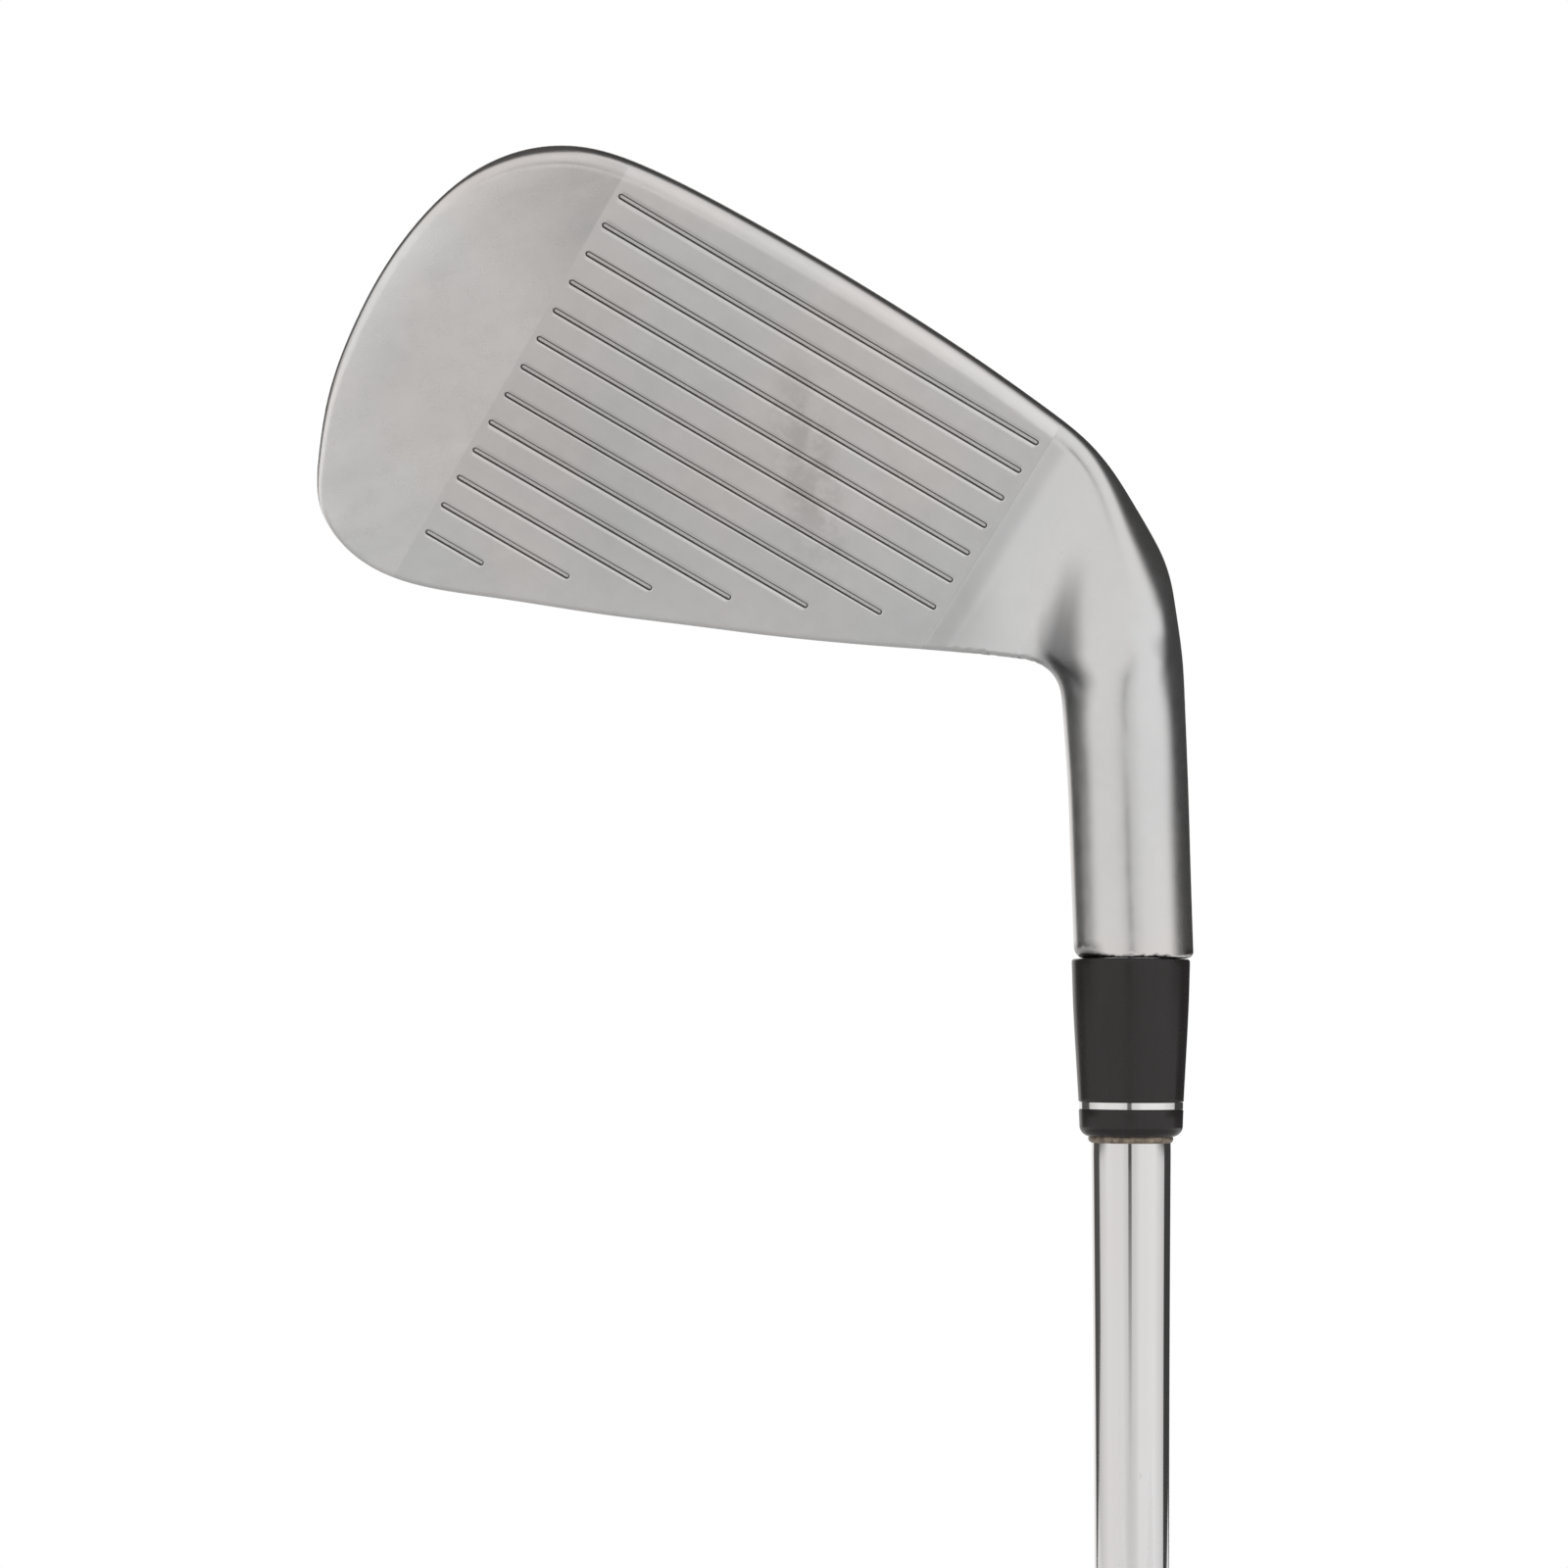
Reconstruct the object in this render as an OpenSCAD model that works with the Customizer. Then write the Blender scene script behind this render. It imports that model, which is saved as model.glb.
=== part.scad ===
// Iron golf club, left-handed, about a 4 iron.
// The shaft axis is the Z axis. The butt end of the grip is at z = 0 and the
// head is at the top, so the club stands head up. The toe points to -X and
// the striking face looks to -Y.
// The head is drawn in a frame of its own on the striking face: local X runs
// from heel to toe along the grooves, local Y from the sole to the topline,
// and local Z comes out of the face.

/* [Club] */
// Length of the club along the shaft, from the butt end to the sole (mm)
club_length = 978; // [900:1:1010]
// Lie angle, between the shaft and the ground (degrees)
lie = 61; // [58:0.5:64]
// Loft angle of the face (degrees)
loft = 24; // [18:0.5:34]

/* [Head] */
// Thickness of the plate behind the striking face (mm)
face_plate = 3; // [2.4:0.1:4]
// Thickness of the topline, front to back (mm)
topline_w = 6; // [5:0.25:8]
// Width of the sole, from the leading edge to the trailing edge (mm)
sole_w = 18.5; // [16:0.5:21]
// Radius of the leading edge (mm)
lead_r = 1.9; // [1:0.1:3]
// Distance between neighbouring grooves (mm)
groove_pitch = 3.8; // [3.5:0.1:4]
// Width of a groove at the face (mm)
groove_w = 0.9; // [0.6:0.05:0.9]
// Depth of a groove (mm)
groove_depth = 0.45; // [0.2:0.05:0.5]

/* [Hosel and ferrule] */
// Outside diameter of the hosel at its end (mm)
hosel_d = 13.7; // [13:0.1:14.4]
// Diameter of the hosel's bore (mm)
bore_d = 9.4; // [9.2:0.05:9.6]
// Depth of the hosel's bore (mm)
bore_depth = 31; // [28:0.5:33]
// Distance from the sole to the hosel's end along the shaft (mm)
hosel_height = 60; // [58:0.5:62]
// Diameter of the ferrule where it meets the hosel (mm)
ferrule_d = 13.4; // [12.8:0.1:13.6]
// Diameter of the ferrule at its shaft end (mm)
ferrule_tip_d = 11.5; // [11:0.1:12]
// Length of the ferrule (mm)
ferrule_len = 20.3; // [18:0.1:24]
// Width of the bright ring in the ferrule (mm)
ring_w = 0.9; // [0.6:0.1:1.2]

/* [Shaft] */
// Diameter of the shaft in the hosel (mm)
tip_d = 9; // [8.9:0.05:9.1]
// Diameter of the shaft's neck, some 60 mm from the ferrule (mm)
neck_d = 8.4; // [8.2:0.05:8.9]
// Diameter of the shaft's butt section (mm)
butt_d = 15.25; // [14.8:0.05:15.6]
// Number of steps between the tip section and the butt section
steps = 13; // [10:1:14]
// Distance between neighbouring steps (mm)
step_pitch = 35; // [32:1:36]
// Wall thickness of the shaft (mm)
wall = 0.45; // [0.4:0.05:0.6]

/* [Grip] */
// Length of the grip (mm)
grip_len = 267; // [255:1:272]
// Diameter of the grip at its butt cap (mm)
grip_butt_d = 27; // [25:0.5:29]
// Diameter of the grip at its mouth (mm)
grip_mouth_d = 17.8; // [17:0.1:19]
// Thickness of the grip's butt cap (mm)
cap_t = 4; // [3:0.5:5]
// Diameter of the vent hole in the butt cap (mm)
vent_d = 3; // [2.5:0.1:3.5]
// Thickness of the tape under the grip (mm)
tape_t = 0.15; // [0.1:0.05:0.3]

/* [Hidden] */

// Heights along the shaft axis
z_face  = club_length - 7;               // where the axis meets the face frame
z_hosel = club_length - hosel_height;    // end of the hosel
z_tip   = z_hosel + bore_depth - 1;      // end of the shaft in the bore
z_fer_t = z_hosel - 0.3;                 // top of the ferrule
z_fer_b = z_fer_t - ferrule_len;         // bottom of the ferrule
z_ring  = z_fer_b + 3.2;                 // lower edge of the bright ring
z_step  = z_hosel - 185;                 // first step, nearest the head
z_shaft = cap_t;                         // butt end of the shaft
hosel_tilt = -1.8;                       // lean of the hosel's skin to the bore

// Directions of the face frame: toe, up the face, out of the face
ft = [-sin(lie), 0, cos(lie)];
fu = [-cos(loft) * cos(lie), sin(loft), -cos(loft) * sin(lie)];
fn = [-sin(loft) * cos(lie), -cos(loft), -sin(loft) * sin(lie)];
// The face lies 1 mm in front of the shaft axis at the height z_face
fo = [0, 0, z_face] + fn;

module on_face() {
  multmatrix([[ft[0], fu[0], fn[0], fo[0]],
              [ft[1], fu[1], fn[1], fo[1]],
              [ft[2], fu[2], fn[2], fo[2]],
              [0, 0, 0, 1]]) children();
}

// Point on a smooth closed curve through the control points c
function knot(c, i) = c[(i + len(c)) % len(c)];
function curve(c, i, f) = let (a = knot(c, i - 1), b = knot(c, i),
  d = knot(c, i + 1), e = knot(c, i + 2))
  0.5 * (2 * b + (d - a) * f + (2 * a - 5 * b + 4 * d - e) * f * f
  + (3 * b - a - 3 * d + e) * f * f * f);
function closed(c, n) = [for (i = [0:len(c) - 1]) for (k = [0:n - 1])
  curve(c, i, k / n)];
function arc(x, y, r, a0, a1, n) = [for (k = [0:n])
  [x + r * cos(a0 + (a1 - a0) * k / n), y + r * sin(a0 + (a1 - a0) * k / n)]];

// Outline of the blade on the face, from the heel round the sole and the toe
blade_pts = [[4, -2], [12, -3.8], [25, -5.1], [40, -5.5], [55, -5.3],
  [66, -4.6], [74.5, -2.5], [79.7, 1.2], [83.4, 6.2], [86, 13.5], [87, 22],
  [86.8, 29], [85.5, 37], [83.3, 44], [80, 49.4], [76.4, 51.9],
  [71.5, 52.7], [66.4, 52], [58, 49], [45, 43.6], [28, 35.9], [12, 28.3],
  [5, 24.6]];
// The same outline as the target sees it, left wide on the topline's side: its
// prism trims the sole and the toe so that they run straight back
target_pts = [for (q = blade_pts)
  [q[0] + 0.12 * max(0, q[1] - 15), q[1] * cos(loft) + 0.9 * max(0, q[1] - 22)]];

// Side view of the blade: local Y up the face, local Z out of it
blade_side = concat(
  arc(-3.6, -lead_r, lead_r, 90, 205, 10),
  [[-5, -4.2], [-3.8, -7.6], [-1.6, -11.4], [0.8, -sole_w + 3.9]],
  arc(3.6, -sole_w + 4.2, 2, 200, 285, 5),
  [[9, -sole_w + 3.3], [12, -11.6], [16, -9.4], [22, -7.6], [30, -topline_w - 0.6],
   [44, -topline_w], [58, -topline_w], [58, 0]]);

// Outline of the cavity in the back and of the badge that sits in it
cavity_pts = [[20, 9], [40, 8], [60, 8.4], [71, 10.5], [78, 16.5], [80.5, 26],
  [79.5, 36], [76.6, 43], [71.5, 45.6], [63, 43.6], [50, 38], [34, 31],
  [22, 25.3], [17.5, 17]];
badge_pts = [[21, 10.5], [40, 9.5], [60, 9.9], [70, 11.8], [76.2, 17.4],
  [78.6, 26], [77.6, 35.4], [75, 41.6], [71, 43.7], [63.2, 41.8], [50, 36.2],
  [34, 29.2], [23, 23.9], [19.2, 17]];

// Heel ends of the grooves, from the sole to the topline
groove_ends = [12.4, 12.4, 12.4, 12.4, 12.4, 12.4, 12.4, 17.5, 25.3, 33.5,
  42, 51, 60.4];
groove_toe = 68.2;

module slab(c, n, z0, z1) {
  translate([0, 0, z0]) linear_extrude(z1 - z0) polygon(closed(c, n));
}
module side_prism(x0, x1) {
  translate([x0, 0, 0]) rotate([90, 0, 90]) linear_extrude(x1 - x0)
    polygon(blade_side);
}
module groove(x0, x1) {
  hull_len = x1 - x0 - groove_w;
  for (x = [x0 + groove_w / 2, x1 - groove_w / 2]) translate([x, 0, -groove_depth])
    cylinder(d = groove_w, h = groove_depth + 1, $fn = 16);
  translate([x0 + groove_w / 2, -groove_w / 2, -groove_depth])
    cube([hull_len, groove_w, groove_depth + 1]);
}
// Skin of the hosel between two heights, leaning a little off the bore
module hosel_skin(z0, z1, extra) {
  translate([0.3, 0, z_hosel]) rotate([0, hosel_tilt, 0])
    translate([0, 0, z0]) cylinder(d1 = hosel_d, d2 = hosel_d + extra,
      h = z1 - z0, $fn = 96);
}
// Ball whose centre is given from the point where the axis meets the face frame
module ball(x, y, z, r) { translate([x, y, z_face + z]) sphere(r, $fn = 32); }
// The balls that carry the heel round from the hosel to the blade
module heel_ball(i) {
  if (i == 0) ball(-0.8, 0, -21, 6.9);
  if (i == 1) ball(-1.6, 0.3, -14.4, 6.9);
  if (i == 2) ball(-4, 1.2, -6.6, 6.7);
  if (i == 3) ball(-8.4, 3.2, 1.2, 6);
  if (i == 4) ball(-12.9, 4.8, 6.2, 5);
}

module blade() on_face() difference() {
  intersection() {
    slab(blade_pts, 4, -30, 0);
    side_prism(10.5, 95);
    rotate([loft, 0, 0]) slab(target_pts, 4, -40, 40);
  }
  slab(cavity_pts, 4, -40, -face_plate);
}

module club_head() color([0.72, 0.71, 0.70]) difference() {
  union() {
    blade();
    // hosel, and the heel that turns from the hosel into the blade
    hosel_skin(1, 32, 0.1);
    translate([0.3, 0, z_hosel]) rotate([0, hosel_tilt, 0])
      cylinder(d1 = hosel_d - 1.4, d2 = hosel_d, h = 1, $fn = 96);
    hull() { heel_ball(0); heel_ball(1); }
    hull() { heel_ball(1); heel_ball(2); }
    hull() { heel_ball(2); heel_ball(3); }
    hull() {
      heel_ball(3); heel_ball(4);
      on_face() translate([10.5, -1, -11]) cube([1, 8, 10]);
    }
    // web between the hosel and the topline
    hull() {
      heel_ball(2);
      on_face() translate([2, 18.6, -1.5]) sphere(3.4, $fn = 32);
      on_face() translate([10.5, 2, -8]) cube([1, 25.6, 8]);
    }
  }
  // bore for the shaft
  translate([0, 0, z_hosel - 1]) cylinder(d = bore_d, h = bore_depth + 1, $fn = 96);
  // grooves
  on_face() for (i = [0:len(groove_ends) - 1])
    translate([0, i * groove_pitch, 0]) groove(groove_ends[i], groove_toe);
}

module cavity_badge() color([0.23, 0.23, 0.25])
  on_face() slab(badge_pts, 4, -face_plate - 1.7, -face_plate - 0.2);

module badge_adhesive() color([0.85, 0.83, 0.78])
  on_face() slab(badge_pts, 4, -face_plate - 0.2, -face_plate);

// Sleeve of glue between the shaft's tip and the hosel's bore
module hosel_epoxy() color([0.72, 0.62, 0.42])
  translate([0, 0, z_hosel + 0.5]) difference() {
    cylinder(d = bore_d, h = bore_depth - 1.6, $fn = 96);
    translate([0, 0, -1]) cylinder(d = tip_d, h = bore_depth + 1, $fn = 96);
  }

// The ferrule swells a little, then closes to a rounded lip on the shaft
module ferrule() color([0.09, 0.09, 0.10]) translate([0, 0, z_fer_b])
  rotate_extrude($fn = 128) polygon(concat(
    [[tip_d / 2 + 0.05, 0], [ferrule_tip_d / 2 - 0.9, 0]],
    arc(ferrule_tip_d / 2 - 0.8, 0.8, 0.8, -80, 0, 5),
    [[ferrule_tip_d / 2 + 0.15, 3.2], [ferrule_tip_d / 2 - 0.35, 3.25],
     [ferrule_tip_d / 2 - 0.35, 3.15 + ring_w], [ferrule_tip_d / 2 + 0.2, 3.2 + ring_w],
     [ferrule_tip_d / 2 + 0.42, 7], [ferrule_d / 2 - 0.25, 12.2],
     [ferrule_d / 2 - 0.06, 16.5], [ferrule_d / 2, ferrule_len - 0.5],
     [ferrule_d / 2 - 0.3, ferrule_len], [tip_d / 2 + 0.05, ferrule_len]]));

module ferrule_ring() color([0.85, 0.86, 0.87]) translate([0, 0, z_ring])
  difference() {
    cylinder(d = ferrule_tip_d + 0.38, h = ring_w, $fn = 128);
    translate([0, 0, -1]) cylinder(d = ferrule_tip_d - 0.7, h = ring_w + 2, $fn = 128);
  }

// Squeezed-out glue at the lower lip of the ferrule
module epoxy_bead() color([0.55, 0.46, 0.36]) translate([0, 0, z_fer_b - 0.6])
  rotate_extrude($fn = 96) polygon([[tip_d / 2, 0], [tip_d / 2 + 0.15, 0],
    [tip_d / 2 + 0.32, 0.3], [tip_d / 2 + 0.3, 0.6], [tip_d / 2, 0.6]]);

// Outer radius of the shaft from the tip to the butt: a parallel tip, a neck,
// a long taper, then even steps up to the butt section
tip_r = tip_d / 2; neck_r = neck_d / 2; butt_r = butt_d / 2;
step_r0 = neck_r + 0.35;
step_dr = (butt_r - step_r0) / steps;
z_last = z_step - (steps - 1) * step_pitch;
shaft_line = concat(
  [[tip_r, z_tip], [tip_r, z_fer_b]],
  [for (k = [1:8]) [neck_r + (tip_r - neck_r) * pow(1 - k / 8, 2), z_fer_b - k * 8]],
  [[neck_r, z_fer_b - 90]],
  [for (k = [0:steps - 1]) for (e = [0, 1])
    [step_r0 + (k + e) * step_dr, z_step - k * step_pitch - e * 1.2]],
  [[butt_r, z_shaft]]);
module shaft() color([0.82, 0.82, 0.84]) rotate_extrude($fn = 96)
  polygon(concat(shaft_line,
    [for (i = [len(shaft_line) - 1:-1:0])
      [shaft_line[i][0] - wall - (i < 3 ? 0.1 : 0), shaft_line[i][1]]]));

// Brass weight pressed into the tip to trim the balance of the club
module swing_weight_plug() color([0.78, 0.62, 0.30])
  translate([0, 0, z_tip - 13]) cylinder(d = tip_d - 2 * wall - 0.3, h = 12, $fn = 64);

module grip_tape() color([0.90, 0.88, 0.80]) translate([0, 0, z_shaft + 1])
  difference() {
    cylinder(d = butt_d + 2 * tape_t, h = grip_len - z_shaft - 4, $fn = 96);
    translate([0, 0, -1]) cylinder(d = butt_d, h = grip_len, $fn = 96);
  }

// Rubber sleeve with a rolled butt cap, a flat face round the vent hole and a
// thin lip at its mouth
bore_r = butt_r + tape_t;
module grip() color([0.10, 0.10, 0.11]) difference() {
  rotate_extrude($fn = 128) polygon(concat(
    [[0, 0], [grip_butt_d / 2 - 2.5, 0]],
    arc(grip_butt_d / 2 - 2, 2, 2, -75, 0, 5),
    [[grip_butt_d / 2, 9], [grip_butt_d / 2 - 0.9, 16], [grip_butt_d / 2 - 1.6, 34],
     [grip_butt_d / 2 - 2.4, 80], [grip_butt_d / 2 - 3.2, 150],
     [grip_mouth_d / 2 + 0.55, grip_len - 22], [grip_mouth_d / 2 + 0.5, grip_len - 6],
     [grip_mouth_d / 2 - 0.1, grip_len - 1], [grip_mouth_d / 2 - 0.5, grip_len],
     [0, grip_len]]));
  translate([0, 0, cap_t]) cylinder(r = bore_r, h = grip_len, $fn = 96);
  translate([0, 0, -1]) cylinder(d = vent_d, h = cap_t + 2, $fn = 48);
}

club_head();
cavity_badge();
badge_adhesive();
hosel_epoxy();
ferrule();
ferrule_ring();
epoxy_bead();
shaft();
swing_weight_plug();
grip_tape();
grip();
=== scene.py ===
"""Iron golf club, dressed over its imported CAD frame. Metres, shaft along Z."""
from math import sin, cos, radians, pi

import bpy
import numpy as np
from mathutils import Matrix, Vector


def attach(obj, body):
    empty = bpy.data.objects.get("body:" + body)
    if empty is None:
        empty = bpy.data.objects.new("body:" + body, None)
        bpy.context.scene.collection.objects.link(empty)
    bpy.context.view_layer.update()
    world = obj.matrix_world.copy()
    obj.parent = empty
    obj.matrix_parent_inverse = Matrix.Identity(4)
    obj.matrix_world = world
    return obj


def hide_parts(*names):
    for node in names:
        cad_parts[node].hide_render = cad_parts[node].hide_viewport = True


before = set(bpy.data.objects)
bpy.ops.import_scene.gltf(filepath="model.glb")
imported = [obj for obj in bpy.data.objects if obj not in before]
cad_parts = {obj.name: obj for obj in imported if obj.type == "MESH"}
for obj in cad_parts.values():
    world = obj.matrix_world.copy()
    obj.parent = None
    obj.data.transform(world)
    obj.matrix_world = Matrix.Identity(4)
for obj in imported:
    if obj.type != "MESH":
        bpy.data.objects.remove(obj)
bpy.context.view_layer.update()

# ---------------------------------------------------------------- head shape
# The head is worked out in millimetres in the striking face's own frame:
# p to the toe along the grooves, u up the face, n out of the face.
LIE, LOFT = radians(61), radians(24)
FT = np.array([-sin(LIE), 0.0, cos(LIE)])
FU = np.array([-cos(LOFT) * cos(LIE), sin(LOFT), -cos(LOFT) * sin(LIE)])
FN = np.array([-sin(LOFT) * cos(LIE), -cos(LOFT), -sin(LOFT) * sin(LIE)])
FM = np.stack([FT, FU, FN], 1)
FO = np.array([0.0, 0.0, 971.0]) + FN


def to_row(P):
    return P @ FM.T + FO


def to_face(P):
    return (P - FO) @ FM


class Spline:
    """C2 cubic spline through points, closed or open, by chord length."""

    def __init__(self, pts, closed=True):
        y = np.array(pts, float)
        n = len(y)
        if closed:
            d = np.linalg.norm(np.roll(y, -1, 0) - y, axis=1)
            k = np.concatenate([[0], np.cumsum(d)])
            A = np.zeros((n, n)); B = np.zeros_like(y)
            for i in range(n):
                a, b = d[i - 1], d[i]
                A[i, (i - 1) % n] += a; A[i, i] += 2 * (a + b); A[i, (i + 1) % n] += b
                B[i] = 6 * ((y[(i + 1) % n] - y[i]) / b - (y[i] - y[i - 1]) / a)
            m = np.linalg.solve(A, B)
            y = np.vstack([y, y[:1]]); m = np.vstack([m, m[:1]])
        else:
            d = np.linalg.norm(y[1:] - y[:-1], axis=1)
            k = np.concatenate([[0], np.cumsum(d)])
            A = np.zeros((n, n)); B = np.zeros_like(y)
            A[0, 0] = A[-1, -1] = 1
            for i in range(1, n - 1):
                a, b = d[i - 1], d[i]
                A[i, i - 1] = a; A[i, i] = 2 * (a + b); A[i, i + 1] = b
                B[i] = 6 * ((y[i + 1] - y[i]) / b - (y[i] - y[i - 1]) / a)
            m = np.linalg.solve(A, B)
        self.k, self.h, self.y, self.m, self.closed = k, np.diff(k), y, m, closed
        self.L = k[-1]

    def at(self, t, order=2):
        if self.closed:
            t = np.mod(t, self.L)
        else:
            t = np.clip(t, 0, self.L)
        i = np.clip(np.searchsorted(self.k, t, side="right") - 1, 0, len(self.h) - 1)
        h = self.h[i][:, None]
        a = (self.k[i + 1] - t)[:, None]; b = (t - self.k[i])[:, None]
        m0, m1, y0, y1 = self.m[i], self.m[i + 1], self.y[i], self.y[i + 1]
        p = (m0 * a ** 3 + m1 * b ** 3) / (6 * h) + (y0 / h - m0 * h / 6) * a + (y1 / h - m1 * h / 6) * b
        if order == 0:
            return p
        v = (-m0 * a ** 2 + m1 * b ** 2) / (2 * h) - (y0 / h - m0 * h / 6) + (y1 / h - m1 * h / 6)
        w = (m0 * a + m1 * b) / h
        return p, v, w


class Outline:
    """Signed distance to a closed plane curve, negative inside."""

    def __init__(self, pts, pad=14, h=0.5, M=480):
        self.s = Spline(pts, True)
        self.t = np.arange(M) * self.s.L / M
        c = self.s.at(self.t, 0)
        self.lo = c.min(0) - pad
        n = np.ceil((c.max(0) + pad - self.lo) / h).astype(int) + 1
        self.h, self.n = h, n
        gx, gy = np.meshgrid(self.lo[0] + np.arange(n[0]) * h, self.lo[1] + np.arange(n[1]) * h, indexing="ij")
        g = np.stack([gx.ravel(), gy.ravel()], 1)
        idx = np.empty(len(g), int)
        for i in range(0, len(g), 20000):
            q = g[i:i + 20000]
            idx[i:i + 20000] = ((q[:, None, :] - c[None]) ** 2).sum(2).argmin(1)
        self.idx = idx.reshape(n)
        a = c; b = np.roll(c, -1, 0)
        self.sign = np.sign(np.sum(a[:, 0] * b[:, 1] - b[:, 0] * a[:, 1]))

    def __call__(self, x, y, want_normal=False):
        q = np.stack([x, y], 1)
        ij = np.clip(np.rint((q - self.lo) / self.h).astype(int), 0, self.n - 1)
        t = self.t[self.idx[ij[:, 0], ij[:, 1]]]
        for _ in range(3):
            p, v, w = self.s.at(t)
            r = p - q
            f = (r * v).sum(1)
            g = (v * v).sum(1) + (r * w).sum(1)
            g = np.where(g > 0.15 * (v * v).sum(1), g, (v * v).sum(1))
            t = t - np.clip(f / g, -1.5, 1.5)
        p, v, w = self.s.at(t)
        v /= np.linalg.norm(v, axis=1)[:, None]
        r = q - p
        # outward normal of a counter-clockwise curve
        nx, ny = v[:, 1] * self.sign, -v[:, 0] * self.sign
        d = r[:, 0] * nx + r[:, 1] * ny
        if want_normal:
            return d, nx, ny
        return d


def ss(a, b, x):
    t = np.clip((x - a) / (b - a), 0, 1)
    return t * t * (3 - 2 * t)


def rmax(a, b, r):
    """Intersection with a rounded edge of radius r."""
    u, v = np.maximum(a + r, 0), np.maximum(b + r, 0)
    return np.minimum(-r, np.maximum(a, b)) + np.sqrt(u * u + v * v)


def rmin(a, b, r):
    """Union with a fillet of radius r."""
    u, v = np.maximum(r - a, 0), np.maximum(r - b, 0)
    return np.maximum(r, np.minimum(a, b)) - np.sqrt(u * u + v * v)


def smin(a, b, k):
    """Union with a soft blend of width k."""
    return np.minimum(a, b) - k * np.log1p(np.exp(-np.abs(a - b) / k))


BLADE = [[-5.25, 2.98], [-1.13, 0.67], [2.98, -1.42], [7.5, -2.97], [13.07, -3.79],
  [25.01, -4.75], [40, -5.22], [54.99, -5.05], [65.98, -4.37], [74.44, -2.47],
  [79.84, 1.06], [83.65, 6.06], [86.27, 13.44], [87.33, 21.99], [87.11, 29.03],
  [85.86, 37.08], [83.47, 44.07], [80.25, 49.64], [76.45, 52.02], [71.5, 52.9],
  [66.37, 52.12], [58.03, 48.94], [45, 43.61], [36.46, 39.86], [27.9, 36.1],
  [11.97, 28.4], [3.16, 23.85], [-3.5, 20.1], [-7.8, 16.6], [-10.4, 11.4], [-9.35, 6.47]]
CAVITY = [[20, 9], [40, 8], [60, 8.4], [71, 10.5], [78, 16.5], [80.5, 26],
  [79.5, 36], [76.6, 43], [71.5, 45.6], [63, 43.6], [50, 38], [34, 31],
  [22, 25.3], [17.5, 17]]
TUBE = [[0.36, 0, 917.8, 6.82], [-0.04, 0, 929.6, 6.86], [-0.38, 0.1, 939.8, 6.92], [-0.66, 0.8, 948.2, 6.95],
  [-0.62, 1.4, 953.5, 6.6], [-0.85, 2.0, 958.8, 5.66], [-2.6, 3.2, 964.3, 4.7], [-5.6, 4.8, 969.5, 3.6],
  [-10, 6.2, 974, 2.6]]
GROOVE_ENDS = [12.4] * 7 + [17.5, 25.3, 33.5, 42, 51, 60.4]
GROOVE_TOE = 68.2
PITCH = 3.8

_blade = _cav = _tube = None


def setup():
    global _blade, _cav, _tube
    _blade = Outline(BLADE)
    _cav = Outline(CAVITY)
    _tube = Spline(TUBE, False)


def tube_sd(line, X):
    """Distance to a round bar of changing radius that follows line."""
    ts = np.linspace(0, line.L, 60)
    c = line.at(ts, 0)
    t = np.empty(len(X))
    for i in range(0, len(X), 40000):
        q = X[i:i + 40000]
        t[i:i + 40000] = ts[(((q[:, None, :] - c[None, :, :3]) ** 2).sum(2)).argmin(1)]
    for _ in range(4):
        p, v, w = line.at(t)
        r = p[:, :3] - X
        f = (r * v[:, :3]).sum(1)
        g = (v[:, :3] ** 2).sum(1) + (r * w[:, :3]).sum(1)
        g = np.where(g > 0.3, g, 0.3)
        t = np.clip(t - np.clip(f / g, -1.0, 1.0), 0, line.L)
    p = line.at(t, 0)
    return np.linalg.norm(X - p[:, :3], axis=1) - p[:, 3]


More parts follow.
